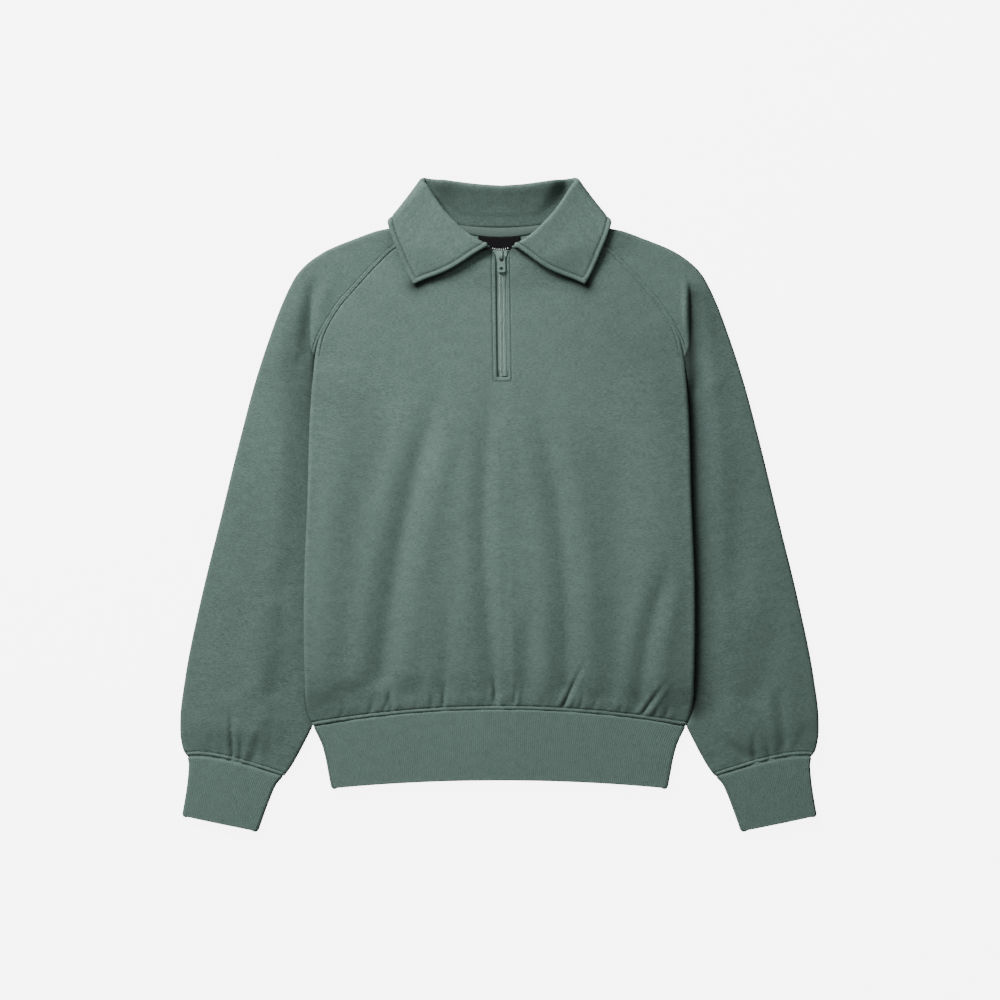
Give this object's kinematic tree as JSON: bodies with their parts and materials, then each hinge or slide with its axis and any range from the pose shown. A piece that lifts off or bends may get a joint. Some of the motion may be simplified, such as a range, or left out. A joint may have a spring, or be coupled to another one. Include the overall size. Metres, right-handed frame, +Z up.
{
  "type": "half zip fleece top",
  "caption": "Adult long-sleeved raglan half zip top in brushed fleece knit with a fold-over collar, rib cuffs and a rib hem band, laid flat with its front up.",
  "frame": {"origin": "centre of the underside of the box around the top, on the surface that it lies on", "axes": "+Y from the hem towards the collar, +X towards the wearer's left, +Z up out of the front"},
  "size_m": [0.7558, 0.7736, 0.0184],
  "materials": {
    "fleece": "matt brushed knit, sage green",
    "rib": "matt fine rib knit, sage green",
    "neck_tape": "matt twill tape, sage green",
    "zip_tape": "woven zip tape with a nylon coil, light sage green",
    "label": "smooth woven label, near black, bare",
    "zip_metal": "satin enamel, sage green"
  },
  "bodies": {
    "garment": {"front": "fleece", "back": "fleece", "sleeve_left": "fleece", "sleeve_right": "fleece", "collar": "fleece", "neck_tape": "neck_tape", "cuff_left": "rib", "cuff_right": "rib", "hem_band": "rib", "neck_label": "label", "zip_tape_left": "zip_tape", "zip_tape_right": "zip_tape", "slider": "zip_metal"},
    "pull": {"pull_tab": "zip_metal"}
  },
  "joints": [
    {"name": "pull_hinge", "type": "hinge", "parent": "garment", "child": "pull", "pos_m": [0.0022, 0.29345, 0.01515], "axis": [-1, 0, 0], "range_deg": [0, 150]}
  ]
}
